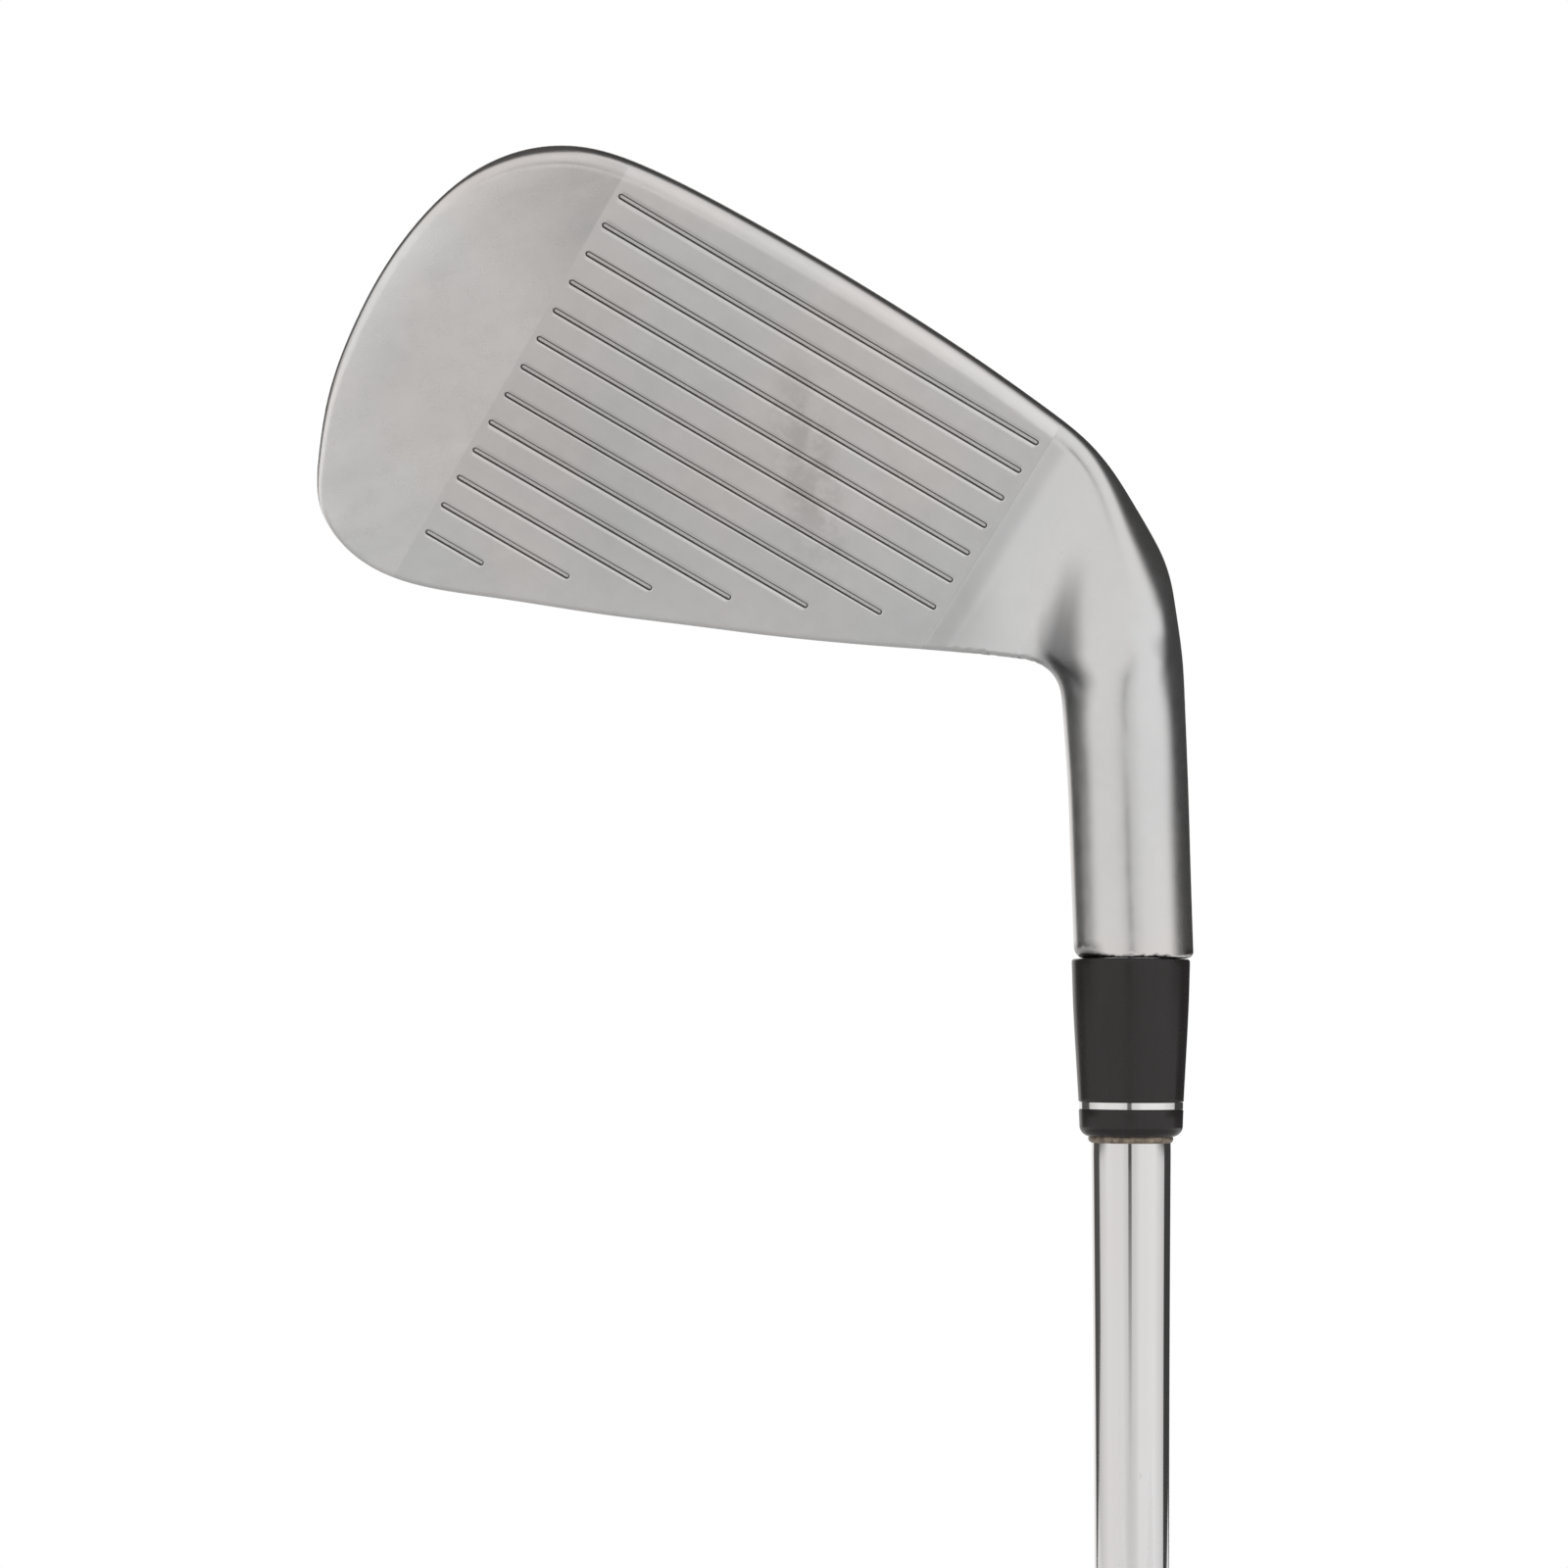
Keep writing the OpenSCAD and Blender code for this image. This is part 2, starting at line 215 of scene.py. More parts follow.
def head_sd(P, grooves=True):
    p, u, n = P[:, 0], P[:, 1], P[:, 2]
    m = -n
    mm = np.maximum(m, 0)
    # the sole sweeps back, the toe leans in a little
    w = 1 - ss(8, 32, u)
    ue = u - 0.0285 * mm * mm * w
    pe = p + 0.012 * mm * mm * ss(60, 86, p)
    d, nx, ny = _blade(pe, ue, True)
    # past the crease at the heel the skin leaves the milled plane and climbs to the hosel
    x = np.maximum(11.3 - p, 0)
    top = ss(-0.1, 0.75, ny)
    fade = 1 - 0.4 * ss(12, 26, u)
    climb = fade * np.where(x < 12.75, 0.08 * x + x * x / 36.0, 5.535 + 0.788 * (x - 12.75))
    slope = fade * np.where(x < 12.75, 0.08 + x / 18.0, 0.788) * ss(0, 4, x)
    lift = 0.012 * ss(0, 0.1, x)
    crown = 0.045 * np.maximum(d + 6.0, 0) ** 2 / 6.0 * ss(0.35, 0.9, nx)
    wide = 1.5 + 3.5 * ss(4, 18, x)
    z = FO[2] + P @ FM[2]
    crown = crown + slope * np.maximum(d + wide, 0) ** 2 / (2 * wide) * (1 - top) * ss(951, 963, z)
    # thickness from front to back
    S = 7.5 + 9.5 * ss(-6, 32, p)
    T = 6 + (S - 6) / (1 + np.exp(-(10.5 - u) / 2.3)) - 2.5 * ss(8, -8, p) * ss(8, 18, u)
    rf = 0.7 + (0.6 + 5.9 * ss(3, 21, x) + 1.1 * ss(-0.2, -0.95, ny)) * (1 - top)
    slab = rmax(d + 0.12 * climb * ss(0.2, 0.8, ny), n - lift - climb + crown, rf)
    slab = rmax(slab, (m - T) * 0.72, 1.0 + (0.6 + 2.0 * ss(2, 18, x)) * (1 - top))
    X = to_row(P)
    tube = np.full(len(P), 30.0)
    near = (p < 30) & (n > -22)
    tube[near] = tube_sd(_tube, X[near])
    soft = 0.6 + 1.9 * ss(4, 18, u) * ss(10, -3, p) * ss(-4, 1, n) * (1 - 0.45 * ss(19, 23, u))
    body = smin(tube, slab, soft)
    # milled face
    body = rmax(body, (n - lift - x * x / 3.0) / np.sqrt(1 + (x / 1.5) ** 2), 0.03 + 1.2 * ss(0.3, 3, x))
    # square end of the hosel, its corner softer on the toe side
    cut = 917.68 - X[:, 2]
    body = rmax(body, cut, 0.2 + 1.15 * ss(2.5, 6.8, -X[:, 0]) + 0.6 * ss(4, 7, X[:, 0]))
    # cavity
    near = (n < -1.2) & (p > 12)
    if near.any():
        nn = n[near]
        pocket = rmax(_cav(p[near], u[near]) + 0.12 * np.maximum(0, nn + 3), nn + 3.0, 1.0)
        body[near] = rmax(body[near], -pocket, 0.7)
    # bore
    bore = np.maximum(np.hypot(X[:, 0], X[:, 1]) - 4.7, X[:, 2] - 949)
    body = rmax(body, -bore, 0.25)
    if grooves:
        near = (n > -1.2) & (n < 0.8)
        if near.any():
            pp, uu, nn = p[near], u[near], n[near]
            k = np.clip(np.rint(uu / PITCH), 0, 12).astype(int)
            e = np.array(GROOVE_ENDS)[k] + 0.36
            t = GROOVE_TOE - 0.36
            v = np.hypot(pp - np.clip(pp, e, t), uu - k * PITCH)
            dep, wt, wb = 0.32, 0.36, 0.16
            half = wb + (wt - wb) * (nn + dep) / dep
            ca = dep / np.hypot(dep, wt - wb)
            g = np.maximum((v - half) * ca, -(nn + dep))
            b = body[near]
            body[near] = rmax(b, -g, 0.05)
    return body


def axis_lines(lo, hi, h, fine):
    """Grid lines from lo to hi, about h apart, with extra lines given in fine."""
    base = np.arange(lo, hi + h, h)
    fine = np.sort(np.array(fine)) if len(fine) else np.array([])
    if len(fine):
        gap = np.abs(base[:, None] - fine[None]).min(1)
        base = base[gap > 0.45 * h]
    x = np.unique(np.round(np.concatenate([base, fine]), 5))
    keep = [x[0]]
    for q in x[1:]:
        if q - keep[-1] > 0.03:
            keep.append(q)
    return np.array(keep)


def net(sdf, xs, ys, zs, stride=4, lip=1.25):
    """Surface nets on a rectilinear grid: vertices, quads."""
    nx, ny, nz = len(xs), len(ys), len(zs)

    def coarse(a):
        i = list(range(0, len(a), stride))
        if i[-1] != len(a) - 1:
            i.append(len(a) - 1)
        return np.array(i)
    ix, iy, iz = coarse(xs), coarse(ys), coarse(zs)
    G = np.stack(np.meshgrid(xs[ix], ys[iy], zs[iz], indexing="ij"), -1).reshape(-1, 3)
    C = sdf(G).reshape(len(ix), len(iy), len(iz))
    dx, dy, dz = np.diff(xs[ix]), np.diff(ys[iy]), np.diff(zs[iz])
    diag = np.sqrt(dx[:, None, None] ** 2 + dy[None, :, None] ** 2 + dz[None, None, :] ** 2)
    A = np.abs(C)
    mn = np.minimum.reduce([A[a:a + A.shape[0] - 1 if a == 0 else None, b:b + A.shape[1] - 1 if b == 0 else None,
                              c:c + A.shape[2] - 1 if c == 0 else None]
                            for a in (0, 1) for b in (0, 1) for c in (0, 1)])
    act = mn < diag * lip * 0.6
    # node mask on the fine grid
    cellx = np.repeat(np.arange(len(ix) - 1), np.diff(ix)); celly = np.repeat(np.arange(len(iy) - 1), np.diff(iy))
    cellz = np.repeat(np.arange(len(iz) - 1), np.diff(iz))
    cm = act[np.ix_(cellx, celly, cellz)]
    node = np.zeros((nx, ny, nz), bool)
    for a in (0, 1):
        for b in (0, 1):
            for c in (0, 1):
                node[a:nx - 1 + a, b:ny - 1 + b, c:nz - 1 + c] |= cm
    near = lambda n_, i_: np.clip(np.searchsorted(i_, np.arange(n_)), 0, len(i_) - 1)
    V = C[np.ix_(near(nx, ix), near(ny, iy), near(nz, iz))].copy()
    sel = np.argwhere(node)
    pts = np.stack([xs[sel[:, 0]], ys[sel[:, 1]], zs[sel[:, 2]]], 1)
    vals = np.empty(len(pts))
    for i in range(0, len(pts), 200000):
        vals[i:i + 200000] = sdf(pts[i:i + 200000])
    V[node] = vals
    S = V < 0
    # cells crossed by the surface
    s = np.zeros((nx - 1, ny - 1, nz - 1), np.int8)
    for a in (0, 1):
        for b in (0, 1):
            for c in (0, 1):
                s += S[a:nx - 1 + a, b:ny - 1 + b, c:nz - 1 + c]
    cells = np.argwhere((s > 0) & (s < 8))
    cid = -np.ones((nx - 1, ny - 1, nz - 1), int)
    cid[tuple(cells.T)] = np.arange(len(cells))
    acc = np.zeros((len(cells), 3)); cnt = np.zeros(len(cells))
    quads = []
    ax = [xs, ys, zs]
    for d in range(3):
        sl0 = [slice(None)] * 3; sl1 = [slice(None)] * 3
        sl0[d] = slice(0, -1); sl1[d] = slice(1, None)
        cross = S[tuple(sl0)] != S[tuple(sl1)]
        e = np.argwhere(cross)
        v0 = V[tuple(sl0)][tuple(e.T)]; v1 = V[tuple(sl1)][tuple(e.T)]
        f = v0 / (v0 - v1)
        P = np.stack([ax[k][e[:, k]] for k in range(3)], 1).astype(float)
        P[:, d] += f * (ax[d][e[:, d] + 1] - ax[d][e[:, d]])
        d1, d2 = (d + 1) % 3, (d + 2) % 3
        ok = (e[:, d1] > 0) & (e[:, d2] > 0) & (e[:, d1] < [nx, ny, nz][d1] - 1) & (e[:, d2] < [nx, ny, nz][d2] - 1)
        ring = []
        for o1, o2 in ((-1, -1), (0, -1), (0, 0), (-1, 0)):
            c = e.copy(); c[:, d1] += o1; c[:, d2] += o2
            inb = (c >= 0).all(1) & (c[:, 0] < nx - 1) & (c[:, 1] < ny - 1) & (c[:, 2] < nz - 1)
            cc = np.clip(c, 0, [nx - 2, ny - 2, nz - 2])
            i = np.where(inb, cid[tuple(cc.T)], -1)
            g = i >= 0
            np.add.at(acc, i[g], P[g]); np.add.at(cnt, i[g], 1)
            ring.append(i)
        ring = np.stack(ring, 1)[ok]
        flip = (v0 > 0)[ok]
        ring[flip] = ring[flip][:, ::-1]
        quads.append(ring[(ring >= 0).all(1)])
    return acc / cnt[:, None], np.concatenate(quads)


def grad(sdf, P, d, e=0.01):
    g = np.empty_like(P)
    for k in range(3):
        D = np.zeros(3); D[k] = e
        g[:, k] = (sdf(P + D) - d) / e
    return g


GROOVE_U = (-0.41, -0.355, -0.30, -0.20, -0.13, 0, 0.13, 0.20, 0.30, 0.355, 0.41)
GROOVE_N = (-0.55, -0.40, -0.34, -0.29, -0.2, -0.1, -0.04, 0.02, 0.07, 0.14)


def settle(sdf, v, h, rounds=2):
    """Moves the vertices on to the surface and returns them with their normals."""
    for i in range(rounds):
        d = sdf(v); g = grad(sdf, v, d)
        step = -(d / np.maximum((g * g).sum(1), 0.2))[:, None] * g
        if i == 0:
            ln = np.linalg.norm(step, axis=1)
            step *= np.minimum(1, 0.25 * h / np.maximum(ln, 1e-9))[:, None]
        v = v + step
    d = sdf(v); g = grad(sdf, v, d)
    return v, g / np.linalg.norm(g, axis=1)[:, None]


def head_mesh(h):
    setup()
    fu = [k * PITCH + o for k in range(13) for o in GROOVE_U]
    fp = [GROOVE_TOE + o for o in (-0.55, -0.36, -0.2, -0.08, 0.03, 0.14)]
    for g in sorted(set(GROOVE_ENDS)):
        fp += [g + o for o in (-0.14, -0.03, 0.08, 0.2, 0.36, 0.55)]
    fp += [10.5, 10.8, 11.05, 11.18, 11.24, 11.3, 11.36, 11.5]
    xs = axis_lines(-32, 90, h, fp)
    ys = axis_lines(-8, 56, h, fu)
    zs = axis_lines(-19.5, 28, h, GROOVE_N)
    v, q = net(head_sd, xs, ys, zs)
    v, g = settle(head_sd, v, h)
    return v, q, g


BADGE = [[21, 10.5], [40, 9.5], [60, 9.9], [70, 11.8], [76.2, 17.4], [78.6, 26],
  [77.6, 35.4], [75, 41.6], [71, 43.7], [63.2, 41.8], [50, 36.2], [34, 29.2],
  [23, 23.9], [19.2, 17]]


def badge_mesh():
    """Insert of the back cavity: a plain rim round a ribbed field."""
    line = Outline(BADGE, pad=4, h=0.4)

    def sd(P):
        p, u, m = P[:, 0], P[:, 1], -P[:, 2]
        d = line(p, u)
        body = rmax(d + 0.06 * (m - 3.2), np.maximum(m - 4.7, 3.2 - m), 0.35)
        a = (u - 0.28 * p) / 1.7
        rib = 0.5 + 0.5 * np.cos(2 * pi * a)
        floor = 4.16 + 0.26 * rib ** 1.5
        field = np.maximum(d + 1.9, floor - m)
        return rmax(body, -field, 0.22)
    xs = axis_lines(17.5, 80.5, 0.5, [])
    ys = axis_lines(8, 45.5, 0.3, [])
    zs = axis_lines(-5.1, -2.8, 0.24, [])
    v, q = net(sd, xs, ys, zs, stride=3)
    v, g = settle(sd, v, 0.3)
    return v, q, g


# ------------------------------------------------------------------- objects
def mesh_object(name, verts, faces, normals=None, sharp=None):
    me = bpy.data.meshes.new(name)
    me.from_pydata([tuple(v) for v in verts], [], [tuple(int(i) for i in f) for f in faces])
    me.validate(clean_customdata=False)
    me.update()
    me.polygons.foreach_set("use_smooth", [True] * len(me.polygons))
    if normals is not None:
        me.normals_split_custom_set_from_vertices([tuple(n) for n in normals])
    elif sharp:
        me.set_sharp_from_angle(angle=radians(sharp))
    o = bpy.data.objects.new(name, me)
    bpy.context.scene.collection.objects.link(o)
    return o


def from_face(name, v, q, g):
    return mesh_object(name, to_row(v) / 1000, q, g @ FM.T)


def lathe(name, profile, seg, relief=None, sharp=30, centre=(0, 0), lean=0.0):
    """Turned solid: a closed (r, z) outline in mm, carried round the Z axis.
    relief(r, z, angle) gives the radius after carving."""
    pr = np.array(profile, float)
    a = np.arange(seg) * 2 * pi / seg
    r = np.repeat(pr[:, :1], seg, 1); z = np.repeat(pr[:, 1:], seg, 1)
    A = np.repeat(a[None], len(pr), 0)
    if relief is not None:
        r = relief(r, z, A)
    v = np.stack([r * np.cos(A) + centre[0], r * np.sin(A) + centre[1], z], -1).reshape(-1, 3)
    faces = []
    n = len(pr)
    on_axis = [abs(x) < 1e-9 for x in pr[:, 0]]
    keep = {}
    verts = []
    ids = np.empty((n, seg), int)
    for i in range(n):
        if on_axis[i]:
            ids[i] = len(verts); verts.append(v[i * seg])
        else:
            ids[i] = np.arange(seg) + len(verts); verts.extend(v[i * seg:(i + 1) * seg])
    for i in range(n):
        j = (i + 1) % n
        if on_axis[i] and on_axis[j]:
            continue
        for k in range(seg):
            l = (k + 1) % seg
            f = [ids[i][k], ids[i][l], ids[j][l], ids[j][k]]
            g = []
            for x in f:
                if x not in g:
                    g.append(x)
            faces.append(g)
    # outline running anticlockwise in (r, z) faces outward
    area = sum(pr[i][0] * pr[(i + 1) % n][1] - pr[(i + 1) % n][0] * pr[i][1] for i in range(n))
    if area < 0:
        faces = [f[::-1] for f in faces]
    return mesh_object(name, np.array(verts) / 1000, faces, sharp=sharp)


def arc(x, y, r, a0, a1, n):
    return [(x + r * cos(radians(a0 + (a1 - a0) * k / n)), y + r * sin(radians(a0 + (a1 - a0) * k / n)))
            for k in range(n + 1)]


def smooth_line(pts, step):
    """Points along a smooth open curve through pts."""
    s = Spline(pts, False)
    n = max(2, int(s.L / step))
    return [tuple(x) for x in s.at(np.linspace(0, s.L, n + 1), 0)]


# ----------------------------------------------------------------- node help
class Tree:
    def __init__(self, tree):
        self.t = tree
        tree.nodes.clear()

    def node(self, kind, **kw):
        n = self.t.nodes.new(kind)
        for k, v in kw.items():
            setattr(n, k, v)
        return n

    def put(self, socket, v):
        if isinstance(v, bpy.types.NodeSocket):
            self.t.links.new(v, socket)
        else:
            socket.default_value = v

    def math(self, op, a, b=0.0, c=0.0, clamp=False):
        n = self.node("ShaderNodeMath", operation=op, use_clamp=clamp)
        self.put(n.inputs[0], a); self.put(n.inputs[1], b); self.put(n.inputs[2], c)
        return n.outputs[0]

    def add(self, a, b): return self.math("ADD", a, b)
    def sub(self, a, b): return self.math("SUBTRACT", a, b)
    def mul(self, a, b): return self.math("MULTIPLY", a, b)

    def dot(self, a, b):
        n = self.node("ShaderNodeVectorMath", operation="DOT_PRODUCT")
        self.put(n.inputs[0], a); self.put(n.inputs[1], tuple(b))
        return n.outputs["Value"]

    def step(self, x, a, b, lo=0.0, hi=1.0):
        """Smooth change from lo to hi while x goes from a to b."""
        n = self.node("ShaderNodeMapRange", interpolation_type="SMOOTHSTEP")
        for k, v in zip(("Value", "From Min", "From Max", "To Min", "To Max"), (x, a, b, lo, hi)):
            self.put(n.inputs[k], v)
        return n.outputs[0]

    def span(self, x, a, b, lo=0.0, hi=1.0):
        n = self.node("ShaderNodeMapRange", interpolation_type="LINEAR", clamp=True)
        for k, v in zip(("Value", "From Min", "From Max", "To Min", "To Max"), (x, a, b, lo, hi)):
            self.put(n.inputs[k], v)
        return n.outputs[0]

    def mix(self, f, a, b):
        n = self.node("ShaderNodeMix", data_type="RGBA")
        self.put(n.inputs[0], f); self.put(n.inputs[6], a); self.put(n.inputs[7], b)
        return n.outputs[2]

    def scaled(self, vec, s):
        n = self.node("ShaderNodeVectorMath", operation="MULTIPLY")
        self.put(n.inputs[0], vec); self.put(n.inputs[1], tuple(s))
        return n.outputs[0]

    def vec(self, x, y, z):
        n = self.node("ShaderNodeCombineXYZ")
        self.put(n.inputs[0], x); self.put(n.inputs[1], y); self.put(n.inputs[2], z)
        return n.outputs[0]

    def noise(self, vec, scale, detail=3.0, rough=0.5, distort=0.0):
        n = self.node("ShaderNodeTexNoise", noise_dimensions="3D")
        self.put(n.inputs["Vector"], vec)
        self.put(n.inputs["Scale"], scale); self.put(n.inputs["Detail"], detail)
        self.put(n.inputs["Roughness"], rough); self.put(n.inputs["Distortion"], distort)
        return n.outputs["Fac"]

    def cells(self, vec, scale):
        n = self.node("ShaderNodeTexVoronoi", voronoi_dimensions="3D", feature="F1")
        self.put(n.inputs["Vector"], vec); self.put(n.inputs["Scale"], scale)
        return n.outputs["Distance"], n.outputs["Color"]

    def bump(self, height, strength, distance, normal=None):
        n = self.node("ShaderNodeBump")
        self.put(n.inputs["Height"], height)
        n.inputs["Strength"].default_value = strength
        n.inputs["Distance"].default_value = distance
        if normal is not None:
            self.put(n.inputs["Normal"], normal)
        return n.outputs[0]

    def channel(self, colour, i=0):
        n = self.node("ShaderNodeSeparateColor")
        self.put(n.inputs[0], colour)
        return n.outputs[i]


def rgb(r, g, b):
    return (r, g, b, 1.0)


def material(name, metallic=0.0, specular=0.5, coat=0.0, coat_rough=0.05):
    m = bpy.data.materials.new(name)
    m.use_nodes = True
    t = Tree(m.node_tree)
    out = t.node("ShaderNodeOutputMaterial")
    b = t.node("ShaderNodeBsdfPrincipled")
    b.inputs["Metallic"].default_value = metallic
    b.inputs["Specular IOR Level"].default_value = specular
    if coat:
        b.inputs["Coat Weight"].default_value = coat
        b.inputs["Coat Roughness"].default_value = coat_rough
    m.node_tree.links.new(b.outputs[0], out.inputs[0])
    co = t.node("ShaderNodeTexCoord").outputs["Object"]
    return m, t, b, co


# ----------------------------------------------------------------- materials
def face_coordinates(t, co):
    """p, u and n in millimetres."""
    return [t.sub(t.dot(co, 1000 * a), float(a @ FO)) for a in (FT, FU, FN)]


def steel():
    m, t, b, co = material("satin_steel", metallic=1.0)
    p, u, n = face_coordinates(t, co)
    flat = t.step(n, -0.75, -0.5)
    lane = t.mul(t.step(p, 68.65, 68.95, 1.0, 0.0), t.step(p, 11.2, 11.5))
    score = t.mul(flat, lane)
    toe = t.mul(flat, t.step(p, 68.65, 68.95))
    # broad clouding, a finer grain, and soft bands across the toe
    broad = t.noise(co, 55.0, 3.0, 0.55, 0.6)
    fine = t.noise(co, 420.0, 4.0, 0.6)
    across = t.noise(t.vec(t.mul(t.add(p, u), 0.05), t.mul(t.sub(p, u), 0.16), 0.0), 1.0, 3.0, 0.5, 0.8)
    brush = t.noise(t.vec(t.mul(p, 0.03), t.mul(u, 2.2), t.mul(n, 2.2)), 1.0, 3.0, 0.6)
    tone = t.add(t.mul(t.sub(broad, 0.5), 0.13), t.mul(t.sub(fine, 0.5), 0.08))
    tone = t.add(tone, t.mul(t.mul(t.sub(across, 0.5), toe), 0.20))
    tone = t.add(tone, t.mul(t.mul(t.sub(across, 0.5), score), 0.08))
    tone = t.add(tone, t.mul(toe, t.add(t.step(u, 2.0, 18.0, -0.01, 0.18), t.step(u, 28.0, 46.0, 0.0, 0.09))))
    tone = t.add(tone, t.mul(t.mul(flat, t.step(p, 11.2, 11.35, 1.0, 0.0)), 0.035))
    tone = t.add(tone, t.mul(score, t.step(p, 12.0, 60.0, 0.10, 0.0)))
    tone = t.add(tone, t.mul(t.mul(t.sub(brush, 0.5), score), 0.05))
    # worn, darker strip up the middle of the face
    a, c = -0.629, 0.777
    along = t.add(t.mul(t.sub(p, 33.5), a), t.mul(t.sub(u, 16.5), c))
    side = t.add(t.mul(t.sub(p, 33.5), c), t.mul(t.sub(u, 16.5), -a))
    r2 = t.add(t.math("POWER", t.mul(along, 1 / 13.0), 2.0), t.math("POWER", t.mul(side, 1 / 4.0), 2.0))
    smudge = t.mul(t.step(r2, 0.1, 1.5, 1.0, 0.0), t.step(t.noise(co, 260.0, 4.0, 0.65), 0.36, 0.62))
    smudge = t.mul(smudge, score)
    tone = t.sub(tone, t.mul(smudge, 0.23))
    tone = t.add(tone, t.mul(score, t.add(t.step(u, 28.0, 46.0, 0.0, 0.11), 0.05)))
    tone = t.add(tone, t.mul(t.mul(toe, t.step(p, 69.0, 77.0, -0.085, 0.0)), t.step(u, 8.0, 22.0, 1.0, 0.0)))
    # small dark pits
    dist, col = t.cells(co, 150.0)
    pit = t.mul(t.step(dist, 0.02, 0.045, 1.0, 0.0), t.step(t.channel(col), 0.62, 0.64))
    tone = t.sub(tone, t.mul(pit, t.add(t.mul(score, 0.14), 0.06)))
    # painted shade: the groove walls are darkened, their floors far less
    depth = t.mul(n, -1.0)
    low = t.mul(t.step(depth, 0.015, 0.07), t.step(depth, 0.6, 0.8, 1.0, 0.0))
    lane = t.math("ABSOLUTE", t.mul(t.math("FRACT", t.add(t.mul(u, 1 / PITCH), 0.5)), PITCH))
    lane = t.math("ABSOLUTE", t.sub(lane, PITCH / 2))
    inside = t.mul(t.step(lane, 0.40, 0.44, 1.0, 0.0), t.step(p, 68.3, 68.4, 1.0, 0.0))
    inside = t.mul(inside, t.mul(t.step(p, 12.2, 12.3), t.step(u, -0.6, -0.5)))
    inside = t.mul(inside, t.step(t.sub(u, t.mul(p, 0.45)), 21.0, 21.2, 1.0, 0.0))
    groove_wall_shade = t.mul(t.mul(low, inside), t.step(depth, 0.24, 0.31, 1.0, 0.12))
    warm = t.mix(t.step(t.noise(co, 38.0, 2.0, 0.5, 0.4), 0.35, 0.65), rgb(0.80, 0.775, 0.765), rgb(0.775, 0.78, 0.785))
    k = t.math("ADD", tone, 1.0)
    grey = t.node("ShaderNodeVectorMath", operation="SCALE")
    t.put(grey.inputs[0], warm); t.put(grey.inputs["Scale"], k)
    base = t.mix(groove_wall_shade, grey.outputs[0], rgb(0.16, 0.145, 0.14))
    # painted shade: the base colour is darkened in the concave corner between hosel and topline
    rx, rz = t.dot(co, (1000, 0, 0)), t.dot(co, (0, 0, 1000))
    middle = t.add(t.add(t.mul(t.sub(rz, 951.3), 0.16), -8.6), t.step(rz, 948.5, 952.5, 1.6, 0.0))
    off = t.mul(t.math("ABSOLUTE", t.sub(rx, middle)), t.step(rz, 951.0, 959.0, 1.0, 1.5))
    corner_shade = t.mul(t.mul(t.step(off, 0.4, 2.7, 1.0, 0.0), t.step(rz, 952.5, 966.0, 1.0, 0.0)), t.step(rz, 944.0, 950.0))
    base = t.mix(t.mul(corner_shade, t.step(rz, 950.5, 954.0, 0.72, 0.6)), base, rgb(0.09, 0.09, 0.095))
    # painted shade: the hosel end is darkened near its two sides, just above the ferrule
    rim = t.mul(t.step(rz, 918.2, 919.9, 1.0, 0.0), t.step(rx, -6.0, -4.0, 1.0, 0.0))
    rim = t.add(rim, t.mul(t.step(rz, 918.0, 919.2, 1.0, 0.0), t.step(rx, 4.8, 5.5, 0.0, 0.8)))
    base = t.mix(t.mul(rim, 0.75), base, rgb(0.07, 0.065, 0.06))
    t.put(b.inputs["Base Color"], base)
    rough = t.add(t.mul(score, 0.06), t.add(0.25, t.mul(t.sub(fine, 0.5), 0.10)))
    rough = t.add(rough, t.mul(toe, 0.03))
    rough = t.add(rough, t.mul(smudge, 0.08))
    rough = t.add(rough, t.mul(groove_wall_shade, 0.25))
    hollow = t.mul(t.step(off, 1.0, 4.5, 1.0, 0.0), t.mul(t.step(rz, 951.0, 954.0), t.step(rz, 960.0, 966.0, 1.0, 0.0)))
    rough = t.add(rough, t.mul(hollow, 0.15))
    t.put(b.inputs["Roughness"], rough)
    t.put(b.inputs["Normal"], t.bump(t.noise(co, 3000.0, 3.0, 0.6), 0.04, 0.00003))
    return m


def chrome():
    m, t, b, co = material("shaft_chrome", metallic=1.0)
    streak = t.noise(t.scaled(co, (900.0, 900.0, 14.0)), 1.0, 4.0, 0.6)
    haze = t.noise(co, 90.0, 3.0, 0.55)
    tone = t.add(t.mul(t.sub(streak, 0.5), 0.07), t.mul(t.sub(haze, 0.5), 0.05))
    dist, col = t.cells(t.scaled(co, (1.0, 1.0, 0.4)), 260.0)
    speck = t.mul(t.step(dist, 0.03, 0.08, 1.0, 0.0), t.step(t.channel(col), 0.80, 0.82))
    tone = t.sub(tone, t.mul(speck, 0.22))
    v = t.node("ShaderNodeVectorMath", operation="SCALE")
    t.put(v.inputs[0], t.mix(haze, rgb(0.90, 0.885, 0.88), rgb(0.885, 0.89, 0.90)))
    t.put(v.inputs["Scale"], t.add(tone, 1.0))
    t.put(b.inputs["Base Color"], v.outputs[0])
    t.put(b.inputs["Roughness"], t.add(0.045, t.mul(streak, 0.05)))
    t.put(b.inputs["Normal"], t.bump(streak, 0.04, 0.00003))
    return m


def black_plastic():
    m, t, b, co = material("ferrule_plastic", specular=0.42)
    f = t.noise(t.scaled(co, (700.0, 700.0, 160.0)), 1.0, 4.0, 0.6)
    g = t.noise(co, 60.0, 3.0, 0.5)
    t.put(b.inputs["Base Color"], t.mix(t.add(t.mul(f, 0.6), t.mul(g, 0.4)), rgb(0.0150, 0.0125, 0.0125), rgb(0.029, 0.0255, 0.0255)))
    t.put(b.inputs["Roughness"], t.add(0.17, t.mul(f, 0.16)))
    t.put(b.inputs["Normal"], t.bump(f, 0.05, 0.00004))
    return m


